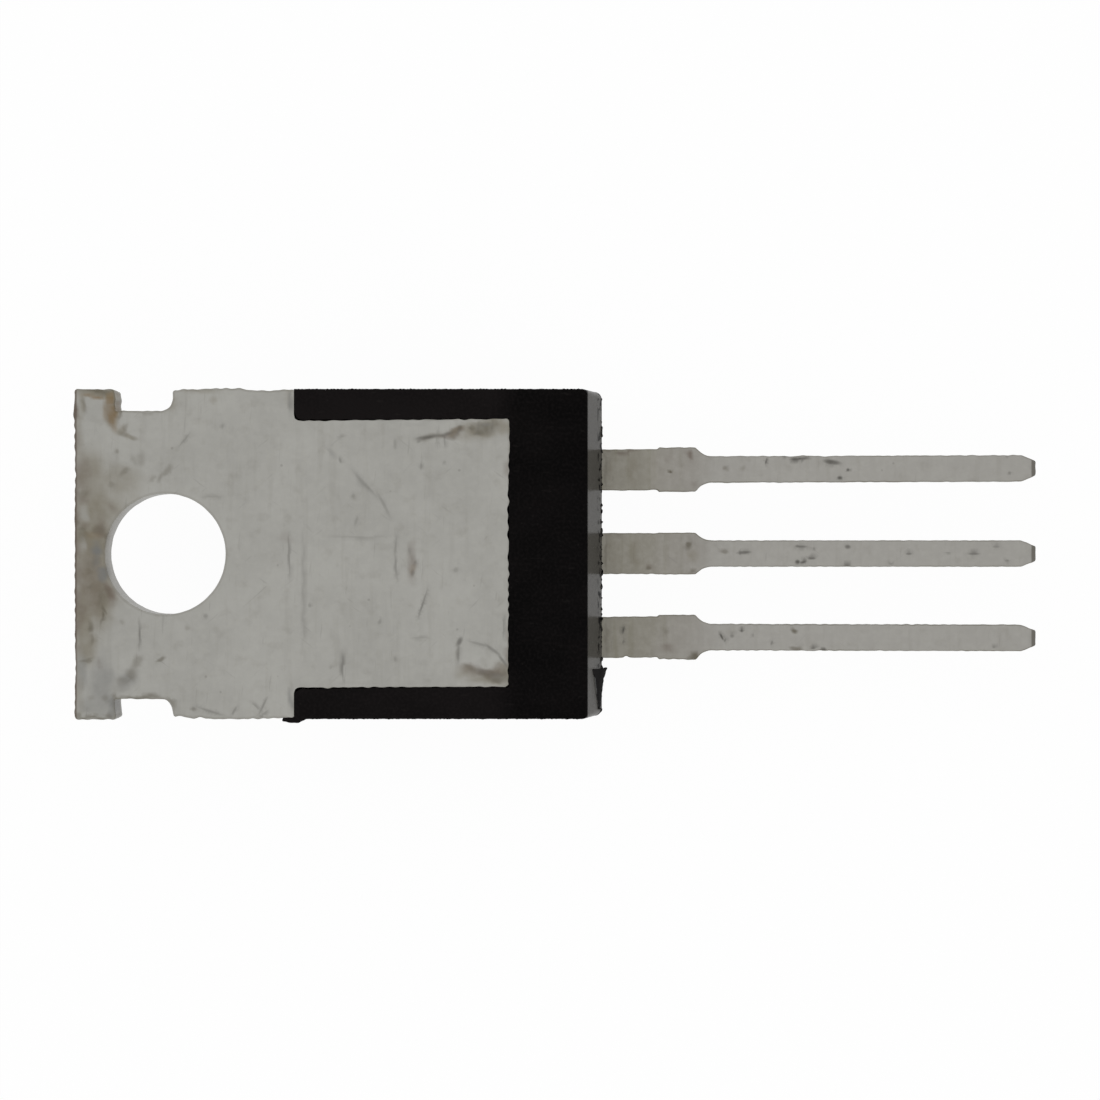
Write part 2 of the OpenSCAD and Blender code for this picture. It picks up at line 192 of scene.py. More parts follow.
def mark_strength(points, table):
    """How strongly marks show at points, 0 to 1. Each is an ellipse (x, y, half length, half width,
    turn, strength) that fades smoothly from near its middle to its edge. The strongest shows."""
    x, y, length, width, turn, strength = (np.array(table) * MARK_UNITS).T
    cos, sin = np.cos(np.radians(turn)), np.sin(np.radians(turn))
    right, up = points[:, :1] - x, points[:, 1:2] - y
    away = np.hypot((right * cos + up * sin) / length, (up * cos - right * sin) / width)
    fade = np.clip((1.2 - away) / 0.9, 0, 1)
    return (fade**2 * (3 - 2 * fade) * strength).max(1)


def flat_face(rings, z, spacing=0.3, marks=()):
    """Level face between closed rings: Delaunay triangles of their points and of a grid inside
    them, which is finer where there are marks and keeps clear of the rings."""
    edge = np.vstack(rings)
    grids = []
    for step in (spacing, FINE_STEP) if marks else (spacing,):
        axes = [np.arange(edge[:, k].min() + step / 2, edge[:, k].max(), step) for k in (0, 1)]
        grids.append(np.stack(np.meshgrid(*axes), -1).reshape(-1, 2))
    if marks:
        grids[1] = grids[1][mark_strength(grids[1], marks) > FAINTEST]
        grids[0] = grids[0][~beside(grids[0], grids[1], FINE_STEP)]
    loose = np.vstack([some[~beside(some, edge, gap)] for some, gap in zip(grids, (0.04, 0.025))])
    loose = loose[inside(loose, rings)]
    points = np.vstack([edge, loose])
    starts = np.cumsum([0] + [len(ring) for ring in rings])
    runs = [np.arange(a, b) for a, b in zip(starts, starts[1:])]
    sides = [np.stack([run, np.roll(run, -1)], 1) for run in runs]
    made = delaunay_2d_cdt(points.tolist(), np.vstack(sides).tolist(), [], 0, 1e-7)
    faces = np.array([of[0] for of in made[3]])[np.array(made[2])]
    at_edge = (faces < len(edge)).all(1)
    outer = faces[at_edge]
    faces = np.vstack([faces[~at_edge], outer[inside(points[outer].mean(1), rings)]])
    return level(points, z), faces, np.zeros(len(points))


def stamping(under, top, roll, rim):
    """Edge profile of punched strip from the top face to the under face: a rolled-over rim, a
    burnished wall, the torn lower third, and a slight burr."""
    turn = np.linspace(0, np.pi / 2, 5)
    fold = [(roll * (1 - math.sin(a)), top - 0.8 * roll * (1 - math.cos(a)), 1) for a in turn]
    torn = under + (top - under) / 3
    return [
        (rim, top, 0), (roll * 1.2, top, 0.7), *fold, (0, top - 1.5 * roll, 0.3), (0, torn, 0.3),
        (0.012, torn - 0.03, 0.8), (0.008, under + 0.02, 0.8), (0.02, under, 1), (rim, under, 0),
    ]


def plate(edges, spacing=0.3, marks=()):
    """Patches of a flat solid, given as outlines with edge profiles, holes last: each profile
    carried round its outline, and the two flat faces, of which the first carries the marks."""
    patches = [carried(edge, profile) for edge, profile in edges]
    for end, some in (0, marks), (-1, ()):
        rings = [pushed(edge, profile[end][0]) for edge, profile in edges]
        patches.append(flat_face(rings, edges[0][1][end][1], spacing, some))
    return patches


def welded(patches):
    """Points, faces and rim of all patches together, with points at one place made one."""
    points = np.vstack([p for p, _, _ in patches])
    rim = np.concatenate([r for _, _, r in patches])
    starts = np.cumsum([0] + [len(p) for p, _, _ in patches])
    _, first, back = np.unique(np.round(points, 5), axis=0, return_index=True, return_inverse=True)
    faces = []
    for start, (_, corners, _) in zip(starts, patches):
        faces += back.ravel()[corners + start].tolist()
    return points[first], faces, rim[first]


def written(mesh, name, values):
    """Writes one value onto each point of a mesh."""
    attribute = mesh.attributes.new(name, "FLOAT", "POINT")
    attribute.data.foreach_set("value", values.astype(np.float32))


def piece(name, *shells):
    """A mesh object in metres from welded shells, with its faces outwards, its rim as an attribute,
    and smooth shading broken at sharp edges."""
    mesh = bpy.data.meshes.new(name)
    points, faces = np.vstack([p for p, _, _ in shells]) * MM, []
    start = 0
    for shell_points, shell_faces, _ in shells:
        faces += [[corner + start for corner in face] for face in shell_faces]
        start += len(shell_points)
    mesh.from_pydata(points.tolist(), [], faces)
    written(mesh, "rim", np.concatenate([r for _, _, r in shells]))
    shape = bmesh.new()
    shape.from_mesh(mesh)
    bmesh.ops.recalc_face_normals(shape, faces=shape.faces)
    shape.to_mesh(mesh)
    shape.free()
    mesh.polygons.foreach_set("use_smooth", [True] * len(mesh.polygons))
    mesh.set_sharp_from_angle(angle=math.radians(32))
    thing = bpy.data.objects.new(name, mesh)
    bpy.context.scene.collection.objects.link(thing)
    return thing


tab_edge = [
    (END_FACE, -TAB_HALF, 0.09), (NOTCH[0], -TAB_HALF, 0.06), (NOTCH[0], -NOTCH_FLOOR[1], 0.05),
    (NOTCH[1], -NOTCH_FLOOR[1], 0.36), (NOTCH[1], -TAB_HALF, 0.12),
    (MOLD_START + 0.04, -TAB_HALF, 0.11), (MOLD_START + 0.04, -3.99, 0.2),
    (PAD_END + 0.04, -3.93, 0.2), (PAD_END + 0.05, 4, 0.12), (MOLD_START + 0.04, 3.97, 0.2),
    (MOLD_START + 0.04, TAB_HALF, 0.11), (NOTCH[1], TAB_HALF, 0.12),
    (NOTCH[1], NOTCH_FLOOR[0], 0.36), (NOTCH[0], NOTCH_FLOOR[0], 0.05),
    (NOTCH[0], TAB_HALF, 0.09), (END_FACE, TAB_HALF, 0.09),
]
# Where the same edge is worn, and where it has swollen
edge_dents = [
    (-10, 4.85, 0.5, 0.03), (-9.5, 4.85, 0.1, 0.03), (-8.75, 4.85, 0.5, -0.05),
    (-11.3, 4.85, 0.2, -0.02), (-11.25, -4.85, 0.22, -0.09), (-10.67, -4.85, 0.14, -0.05),
    (-9.6, -4.85, 0.5, 0.01), (-8.4, -4.85, 0.3, -0.02), (-14.37, 4.2, 0.4, 0.03),
    (-14.37, 2.3, 0.3, -0.02), (-14.37, 1, 0.25, 0.015), (-14.37, -3.3, 0.4, -0.02),
    (-13.9, -4.85, 0.5, 0.02), (-13.17, -4.85, 0.15, 0.03),
]
# Marks of use, and two marks of painted shade, by tone, in the units above
TAB_MARKS = {"olive": [
    (-1381, 26, 294, 79, 90, 90), (-1390, 224, 100, 59, 90, 70), (-1319, 212, 100, 59, 0, 50),
    (-1361, 135, 100, 59, 0, 70), (-1369, -112, 129, 65, 90, 90), (-1405, -171, 135, 41, 90, 85),
    (-1399, -259, 82, 38, 90, 70), (-1318, 441, 59, 12, 90, 90), (-240, 365, 68, 35, 5, 95),
    (-216, 382, 44, 24, 0, 70), (-178, 371, 29, 26, 0, 70), (-190, -359, 59, 32, 0, 100),
    (-231, -374, 65, 15, 0, 60), (-272, -350, 53, 24, -6, 60), (-1325, 418, 71, 26, 95, 50),
    (-1299, 365, 24, 15, 30, 60), (-1275, 347, 26, 12, -25, 60), (-1366, 475, 79, 18, 0, 100),
    (-1413, 441, 41, 12, 80, 45), (-1022, 453, 15, 12, 0, 35), (-1266, 159, 35, 24, 0, 25),
    (-1066, 480, 71, 8.8, 0, 40), (-802, 453, 41, 15, 90, 20), (-1422, 335, 129, 12, 90, 40),
    (-1419, -400, 88, 12, 90, 35), (-1149, 441, 26, 21, 60, 35),
], "copper": [
    (-1431, -3, 500, 8.8, 90, 60), (-1433, 418, 41, 7.6, 90, 95), (-1384, -82, 118, 47, 95, 40),
    (-1408, 235, 76, 26, 90, 35), (-1331, 418, 47, 18, 100, 35), (-1334, -115, 44, 19, 108, 80),
    (-1413, 159, 24, 21, 0, 50), (-1408, 82, 21, 15, 0, 40), (-1358, 74, 38, 24, 90, 50),
    (-1419, -53, 41, 15, 90, 40), (-1413, -171, 38, 21, 90, 45), (-1361, -324, 24, 12, 90, 35),
    (-1422, 224, 35, 15, 90, 40), (-1322, 138, 26, 12, 90, 35), (-257, -341, 59, 24, -8, 50),
    (-210, -347, 59, 21, -5, 70), (-443, -24, 59, 15, 90, 50), (-337, 353, 32, 12, 13, 50),
    (-313, 360, 24, 15, 18, 50), (-160, -282, 103, 7.4, 90, 40), (-160, 247, 47, 5.9, 90, 40),
    (-813, 47, 26, 21, 0, 20), (-443, 18, 29, 15, 60, 25),
], "rust": [
    (-1330, 456, 26, 18, 90, 100), (-1324, 412, 44, 18, 100, 80), (-1381, 460, 41, 8.2, 0, 90),
    (-1343, 424, 35, 12, 80, 45), (-1319, 377, 24, 13, 85, 40), (-316, 362, 24, 10, 20, 35),
    (-440, -44, 21, 8.8, 90, 35), (-1381, 53, 26, 18, 0, 25),
], "smoke": [
    (-1369, 12, 26, 21, 90, 90), (-1352, -62, 26, 18, 105, 95), (-1372, -26, 26, 13, 90, 55),
    (-1352, -394, 100, 50, 90, 45), (-1284, -371, 50, 32, 35, 50), (-1413, -347, 71, 21, 90, 40),
    (-234, 368, 47, 26, 5, 35), (-184, -362, 35, 21, 0, 40), (-1325, -447, 47, 21, 90, 75),
    # The two upright marks at x -7.99 are painted shade on the tab along the moulding's edge
    (-1384, -447, 47, 26, 0, 30), (-799, 441, 44, 9.4, 90, 60), (-799, -430, 44, 9.4, 90, 60),
    (-684, 300, 29, 10, -50, 30), (-578, 200, 88, 12, -46, 22),
], "pale": [
    (-1406, 118, 29, 18, 90, 75), (-1411, 24, 26, 11, 90, 65), (-1384, 415, 35, 29, 0, 60),
    (-1363, 424, 24, 15, 90, 45), (-1384, 321, 41, 41, 0, 25), (-419, 387, 235, 5.9, 0, 75),
    (-478, -384, 265, 5.3, 0, 60),
], "dirt": [
    (-378, 347, 56, 16, 13, 47), (-316, 359, 26, 18, 18, 42), (-266, 371, 15, 11, 60, 47),
    (-243, 356, 18, 14, 20, 38), (-222, 374, 15, 11, 80, 42), (-204, 382, 18, 11, 0, 34),
    (-248, 388, 21, 8.5, 0, 34), (-272, -335, 24, 11, -20, 34), (-225, -359, 26, 12, -5, 42),
    (-187, -371, 21, 11, 0, 47), (-172, -347, 15, 11, 60, 34), (-1352, -124, 41, 21, 85, 34),
    (-1363, 74, 29, 18, 20, 34), (-1336, 26, 44, 9.2, 90, 51), (-1408, 53, 24, 18, 0, 34),
    (-1384, -35, 26, 14, 60, 26), (-1413, 182, 24, 14, 0, 30), (-1294, 355, 18, 14, -30, 38),
    (-1284, 371, 15, 9.2, 60, 34), (-1263, 341, 21, 11, -30, 26), (-1408, 435, 21, 8.5, 90, 38),
    (-1306, 303, 8, 9.2, 0, 36), (-1290, 241, 18, 11, 45, 42), (-1328, 206, 16, 11, 45, 42),
    (-1166, 247, 24, 11, 70, 42), (-1178, 224, 24, 7.1, 60, 34), (-1205, 218, 18, 8.5, 20, 34),
    (-1240, 279, 21, 21, 0, 24), (-1258, 279, 24, 11, 90, 26), (-1299, -203, 9, 11, 0, 29),
    (-1182, -310, 15, 7.8, 28, 64), (-1252, -321, 24, 18, 60, 42), (-1266, -353, 26, 21, 50, 47),
    (-1296, -374, 29, 21, 20, 30), (-1103, -220, 9, 8.5, 0, 29), (-1085, -459, 8, 9.2, 0, 39),
    (-1329, -470, 18, 9.2, 0, 55), (-1372, -471, 12, 7.8, 0, 33), (-1349, -422, 13, 14, 0, 30),
    (-1388, -430, 10, 9.2, 90, 26), (-1387, -215, 15, 13, 90, 85), (-1383, -253, 26, 7.1, 90, 51),
    (-1402, -310, 24, 7.8, 22, 55), (-1355, -185, 29, 5.3, 82, 81), (-1347, -159, 24, 6.4, 104, 72),
    (-1358, -127, 18, 7.8, 80, 51), (-1390, -97, 9, 9.2, 0, 39), (-1343, 50, 18, 8.8, 112, 51),
    (-1413, 68, 15, 9.9, 0, 51), (-1430, 88, 15, 11, 90, 68), (-1309, 481, 18, 11, -20, 77),
    (-1302, 444, 53, 5.6, 90, 85), (-1366, 484, 71, 6.4, 0, 85), (-1237, -422, 88, 7.8, 0, 64),
    (-1152, -438, 21, 7.8, -62, 59), (-1313, -421, 12, 12, 0, 52), (-1308, -447, 47, 5.6, 90, 68),
    (-1425, -477, 12, 14, 0, 52), (-1366, -484, 71, 5.6, 0, 68), (-1281, 419, 18, 7.1, 0, 42),
    (-1225, 418, 65, 4.2, 0, 30),
], "scratch": [
    (-390, 344, 44, 6.5, 12, 72), (-343, 353, 30, 5.9, 14, 56), (-304, 368, 15, 7.6, 70, 40),
    (-272, 371, 9, 5.9, 0, 30), (-251, 353, 15, 5.9, 10, 32), (-225, 382, 20, 7.4, 5, 40),
    (-228, -347, 47, 12, -8, 32), (-440, -56, 12, 7.1, 80, 42), (-450, 9, 12, 5.9, 100, 30),
    (-434, -24, 9, 5.3, 60, 30), (-1113, 335, 34, 3.8, 50, 40), (-999, 377, 10, 4.7, 90, 36),
    (-654, 274, 11, 5.3, 110, 45), (-584, 209, 58, 6.5, -45, 32), (-525, 144, 51, 6.2, -62, 30),
    (-616, 171, 9, 7.1, 90, 36), (-607, 97, 20, 5.9, 70, 32), (-416, 256, 13, 3.8, 90, 48),
    (-346, 271, 6, 4.7, 0, 27), (-407, 343, 30, 4.7, 10, 64), (-422, 332, 10, 5.9, 40, 36),
    (-346, 332, 24, 3.5, 90, 44), (-493, 324, 20, 3.5, 90, 36), (-651, 344, 13, 4.1, 10, 28),
    (-804, -6, 81, 3.8, 92, 48), (-762, -106, 217, 3.8, 90, 26), (-604, 50, 95, 3.5, 0, 26),
    (-490, 26, 37, 4.7, 85, 36), (-490, -35, 51, 4.1, 95, 40), (-411, -147, 54, 3.8, 72, 64),
    (-744, -152, 8, 6.5, 90, 36), (-537, -199, 11, 6.5, 70, 36), (-681, -335, 8, 3.8, 45, 27),
    (-647, -332, 54, 3.5, 91, 60), (-493, -309, 10, 5.3, 90, 27), (-419, -246, 30, 3.8, 0, 30),
    (-313, -47, 10, 8.8, 0, 30), (-1049, -182, 9, 7.6, 0, 36), (-304, -259, 20, 8.8, 60, 72),
    (-306, -291, 37, 5.9, 92, 56), (-204, -282, 37, 5.9, -38, 48), (-175, -315, 30, 5.9, -55, 52),
    (-243, -265, 44, 5.6, -14, 36), (-172, -215, 47, 3.5, 90, 40), (-1244, -235, 54, 4.1, 90, 52),
    (-1037, -462, 51, 4.7, -18, 40), (-966, -462, 20, 4.7, 60, 52), (-881, -447, 34, 4.1, 62, 52),
    (-902, -447, 20, 3.8, -45, 40), (-881, -471, 24, 4.1, 40, 40), (-1085, -456, 8, 7.6, 0, 27),
    (-1031, 169, 37, 3.8, 0, 30), (-369, 344, 30, 3.8, 85, 28), (-248, 371, 30, 3.8, 85, 28),
    (-207, 377, 27, 3.8, 88, 28),
]}
tab_outline = ragged(rounded(tab_edge), seed=3, size=0.009, shortest=0.24, waves=60)
tab_outline = dented(tab_outline, edge_dents)
around = np.linspace(0, -2 * np.pi, 280, endpoint=False)
circle = np.stack([np.cos(around), np.sin(around)], 1)
hole = edged(circle * HOLE_R + (HOLE_X, 0))
tab_plate = plate([
    (tab_outline, stamping(PAD_UNDER, BACK, roll=0.018, rim=0.08)),
    (ragged(hole, seed=5, size=0.003), stamping(PAD_UNDER, BACK, roll=0.01, rim=0.08)),
], 0.08, TAB_MARKS["scratch"] + TAB_MARKS["dirt"])
STEP_START, STEP_HALF, STEP_T = -6.9, 4.27, 0.6  # the lock step round the pad's under side
step_edge = [(x, y * STEP_HALF, 0.1) for x, y in (
    (STEP_START, -1), (PAD_END, -1), (PAD_END, 1), (STEP_START, 1))]
step_wall = stamping(PAD_UNDER, PAD_UNDER + STEP_T, roll=0.04, rim=0.06)
lock_step = plate([(rounded(step_edge, 0.1), step_wall)])

DAM = 2.89, 4.04  # from where to where the cut dam bar's stubs stand on the leads
WIDE, NARROW, TIP_HALF = 0.62, 0.4, 0.22  # half widths of a lead


def lead_outline(y, stub, root):
    """Counter-clockwise outline of a lead about the line y: its root's lower corners, its lower and
    upper edges, and its root's upper corners. Each edge has a wide part, a dam-bar stub, a blend, a
    narrow part and a tapered tip."""
    edge = [
        (DAM[0], WIDE, 0.04), (DAM[0] + 0.05, WIDE + stub, 0.05), (DAM[1], WIDE + stub, 0.06),
        (DAM[1] + 0.27, NARROW, 0.6), (TIP - 0.46, NARROW, 0.15), (TIP, TIP_HALF, 0.06),
    ]
    low = [(x, y - half, r) for x, half, r in edge]
    high = [(x, y + half, r) for x, half, r in reversed(edge)]
    return rounded(root[0] + low + high + root[1])


TIP_BEVEL = 0.12  # how far back from the tip the faces draw together


def lead_shell(outline, lean, marks):
    """A lead in the lead plane. Over the bevel at its tip, heights above the middle of the strip
    shrink in step with the distance past the bevel's start. Past the dam bar the lead bends
    sideways in step with the distance, to lean at the tip."""
    edge = stamping(LEAD_UNDER, LEAD_TOP, 0.025, 0.04)
    points, faces, rim = welded(plate([(outline, edge)], 0.12, marks["scratch"] + marks["dirt"]))
    x, middle = points[:, 0], (LEAD_UNDER + LEAD_TOP) / 2
    share = 1 - np.clip(x - (TIP - TIP_BEVEL), 0, None) / (LEAD_T / 2)
    points[:, 2] = middle + (points[:, 2] - middle) * share
    points[:, 1] += np.clip((x - DAM[0]) / (TIP - DAM[0]), 0, 1) * lean
    return points, faces, rim


# The drain lead is cut flat and then bent: out of the pad, down at 60 degrees, and level again
BEND_START = PAD_END + 0.04
BEND_R, BEND_A = 0.55, math.radians(60)
DROP = PAD_UNDER + LEAD_T - LEAD_TOP
STRAIGHT = (DROP - 2 * BEND_R * (1 - math.cos(BEND_A))) / math.sin(BEND_A)
way = np.linspace(0, 2 * BEND_R * BEND_A + STRAIGHT, 200)
tilt = BEND_A * np.clip(np.minimum(way, way[-1] - way) / (BEND_R * BEND_A), 0, 1)
middle_tilt = (tilt[1:] + tilt[:-1]) / 2
bend_x = np.append(0, np.cumsum(np.cos(middle_tilt) * np.diff(way)))
bend_z = -np.append(0, np.cumsum(np.sin(middle_tilt) * np.diff(way)))


def bent(points):
    """Lays flat strip along the bend, whose tilt grows evenly along an arc, stays, and shrinks
    again: a point stands off square from the middle line by its height above the strip's middle."""
    past = points[:, 0] - BEND_START
    lean = np.interp(past, bend_x, tilt)
    off = points[:, 2] - (LEAD_UNDER + LEAD_TOP) / 2
    x = points[:, 0] + off * np.sin(lean)
    z = PAD_UNDER + LEAD_T / 2 + np.interp(past, bend_x, bend_z) + off * np.cos(lean)
    return np.column_stack([x, points[:, 1], z])


DRAIN_MARKS = {"olive": [
    (151, 0, 24, 61, 0, 20), (218, 0, 55, 15, 90, 50), (397, -3, 33, 18, 90, 50),
], "copper": [
    (266, -37, 18, 12, 0, 35), (182, 54, 61, 4.5, 0, 40),
], "dirt": [
    (382, 30, 12, 9.2, 0, 91), (494, 4, 15, 8.6, 0, 59), (260, -43, 13, 8.6, 0, 65),
    (133, 0, 67, 6.1, 90, 42), (394, -56, 15, 5.2, 0, 65),
], "scratch": [
    (551, 4, 25, 6.4, 5, 90), (539, 3, 8, 6.3, 90, 85), (713, 24, 8, 5.2, 0, 85),
    (713, -24, 9, 8.1, 0, 100), (724, 23, 23, 5.3, 0, 78), (763, 18, 5, 4.6, 0, 59),
    (730, -25, 13, 5.2, 10, 98), (757, -15, 15, 4.6, 5, 98), (865, 21, 11, 8.1, 0, 72),
    (863, -34, 13, 3.7, 0, 72), (1050, 0, 11, 4.6, 0, 85), (1169, 4, 11, 3.5, 0, 39),
    (1248, 0, 21, 5.3, 0, 66), (1315, 21, 14, 3.7, 0, 52), (1348, -21, 9, 5.2, 0, 52),
    (997, -31, 5, 4, 0, 59),
]}
DRAIN_Y, DRAIN_ROOT = 0.01, PAD_END - 0.4
drain_root = [(DRAIN_ROOT, DRAIN_Y - WIDE, 0.05)], [(DRAIN_ROOT, DRAIN_Y + WIDE, 0.05)]
drain_outline = ragged(lead_outline(DRAIN_Y, 0.012, drain_root), seed=7, size=0.006)
drain_points, drain_faces, drain_rim = lead_shell(drain_outline, 0, DRAIN_MARKS)

# The plate's finish: dull mottled tin, stained by handling, soldering heat and a heat sink,
# with painted shade on its edges and beside the moulding


class Reading:
    """What a node gives out. Sums, differences and products of readings add Math nodes."""

    def __init__(self, nodes, socket):
        self.nodes, self.socket = nodes, socket

    def maths(self, operation, first, second):
        return self.nodes.add("Math", {"operation": operation}, {0: first, 1: second})

    def __add__(self, other):
        return self.maths("ADD", self, other)

    def __sub__(self, other):
        return self.maths("SUBTRACT", self, other)

    def __rsub__(self, other):
        return self.maths("SUBTRACT", other, self)

    def __mul__(self, other):
        return self.maths("MULTIPLY", self, other)

    def __or__(self, other):
        """The greater of the two."""
        return self.maths("MAXIMUM", self, other)

    __radd__, __rmul__, __ror__ = __add__, __mul__, __or__


class Nodes:
    """The nodes of a material or of the world, and the patterns that the part's finishes share."""

    def __init__(self, owner):
        owner.use_nodes = True
        self.tree = owner.node_tree
        self.tree.nodes.clear()

    def add(self, kind, settings, sockets, output=0):
        """Adds a node: its settings first, then the value or the link of each socket."""
        node = self.tree.nodes.new("ShaderNode" + kind)
        for name, value in settings.items():
            if name == "stops":
                ramp = node.color_ramp
                ramp.elements[0].position, ramp.elements[0].color = value[0]
                ramp.elements[1].position, ramp.elements[1].color = value[-1]
                for at, colour in value[1:-1]:
                    ramp.elements.new(at).color = colour
            else:
                setattr(node, name, value)
        for name, value in sockets.items():
            if isinstance(value, Reading):
                self.tree.links.new(value.socket, node.inputs[name])
            else:
                node.inputs[name].default_value = value
        return Reading(self, node.outputs[output]) if node.outputs else None

    def place(self):
        """Where the surface is, in millimetres in the part's frame."""
        metres = self.add("TexCoord", {}, {}, "Object")
        return self.add("VectorMath", {"operation": "SCALE"}, {0: metres, "Scale": 1 / MM})

    def noise(self, vector, waves, detail=2, turn=0):
        """Noise with so many waves to a millimetre along X, Y and Z, turned about Z by degrees."""
        if turn:
            turned = {"Vector": vector, "Rotation": (0, 0, math.radians(-turn))}
            vector = self.add("Mapping", {}, turned)
        waves = waves if isinstance(waves, tuple) else (waves,) * 3
        spread = self.add("VectorMath", {"operation": "MULTIPLY"}, {0: vector, 1: waves})
        return self.add("TexNoise", {}, {"Vector": spread, "Scale": 1, "Detail": detail})

    def step(self, value, start, stop):
        """Smooth step: 0 at the start and 1 at the stop, whichever of them is the greater."""
        reach = {"Value": value, "From Min": start, "From Max": stop}
        return self.add("MapRange", {"interpolation_type": "SMOOTHSTEP", "clamp": False}, reach)

    def stepped(self, vector, waves, start, stop, detail=2, turn=0):
        """Patches: the smooth step of noise."""
        return self.step(self.noise(vector, waves, detail, turn=turn), start, stop)

    def dots(self, vector, scale, start, stop):
        """Dots strewn at random, so many to a millimetre: the smooth step of the distance to
        them."""
        cells = self.add("TexVoronoi", {}, {"Vector": vector, "Scale": scale}, "Distance")
        return self.step(cells, start, stop)

    def own(self, name):
        """What a piece says of itself at each of its points under a name."""
        return self.add("Attribute", {"attribute_name": name}, {}, "Fac")

    def mix(self, share, under, over):
        """One colour laid over another by a share."""
        return self.add("Mix", {"data_type": "RGBA"}, {0: share, 6: under, 7: over}, 2)

    def finish(self, height, lift, sockets):
        """Ends a material: its bumps, whose full height is the lift in millimetres, and its
        shader."""
        bumps = self.add("Bump", {}, {"Height": height, "Distance": lift * MM})
        shader = self.add("BsdfPrincipled", {}, {"Normal": bumps, **sockets})
        self.add("OutputMaterial", {}, {"Surface": shader})


def screen(red, green, blue):
    """A colour given as it looks on a screen, 0 to 255, made linear."""
    share = np.array([red, green, blue]) / 255
    return (*np.where(share > 0.04, ((share + 0.055) / 1.055) ** 2.4, share / 12.92).tolist(), 1)


TONES = {
    "olive": screen(121, 115, 100), "copper": screen(104, 93, 84), "rust": screen(118, 98, 68),
    "smoke": screen(112, 112, 110), "pale": screen(153, 152, 147), "dirt": screen(98, 93, 81),
    "scratch": screen(86, 84, 79),
}


WAVES = 16  # that make the outlines of marks uneven
SWAY, SCRATCH_SWAY = 0.02, 0.004
RUN_FADE, HOLE_RUN = 0.1, 0.12


def stained(thing, faces):
    """Writes onto each point of a piece how strongly the marks of each tone show. A face is its
    height, its run and its marks by tone. Marks run on down the edge as far as the run, less far in
    the hole, and fade over the end of it. Points are first moved by a sum of sine waves of random
    direction and phase, which makes the marks' outlines uneven."""
    place = np.empty(3 * len(thing.data.vertices))
    thing.data.vertices.foreach_get("co", place)
    place = place.reshape(-1, 3) / MM
    draw = np.random.default_rng(37)
    ways, lengths = draw.uniform(0, 2 * np.pi, WAVES), draw.uniform(0.15, 0.9, WAVES)
    waves = 2 * np.pi * np.stack([np.cos(ways), np.sin(ways)]) / lengths
    phases, heights = draw.uniform(0, 2 * np.pi, WAVES), draw.normal(size=(WAVES, 2))
    sway = np.sin(place[:, :2] @ waves + phases) @ (heights * lengths[:, None])
    in_hole = np.hypot(place[:, 0] - HOLE_X, place[:, 1]) < HOLE_R + 0.02
    for tone in TONES:
        moved = place[:, :2] + sway * (SCRATCH_SWAY if tone == "scratch" else SWAY)
        shown = np.zeros(len(place))
        for height, run, marks in faces:
            if tone in marks:
                low = height - np.where(in_hole, HOLE_RUN, run)
                down = np.clip((place[:, 2] - low) / RUN_FADE, 0, 1)
                shown = np.maximum(shown, mark_strength(moved, marks[tone]) * down)
        written(thing.data, tone, shown)


BROWN_END = 6  # how far along the leads the brown of soldering heat reaches


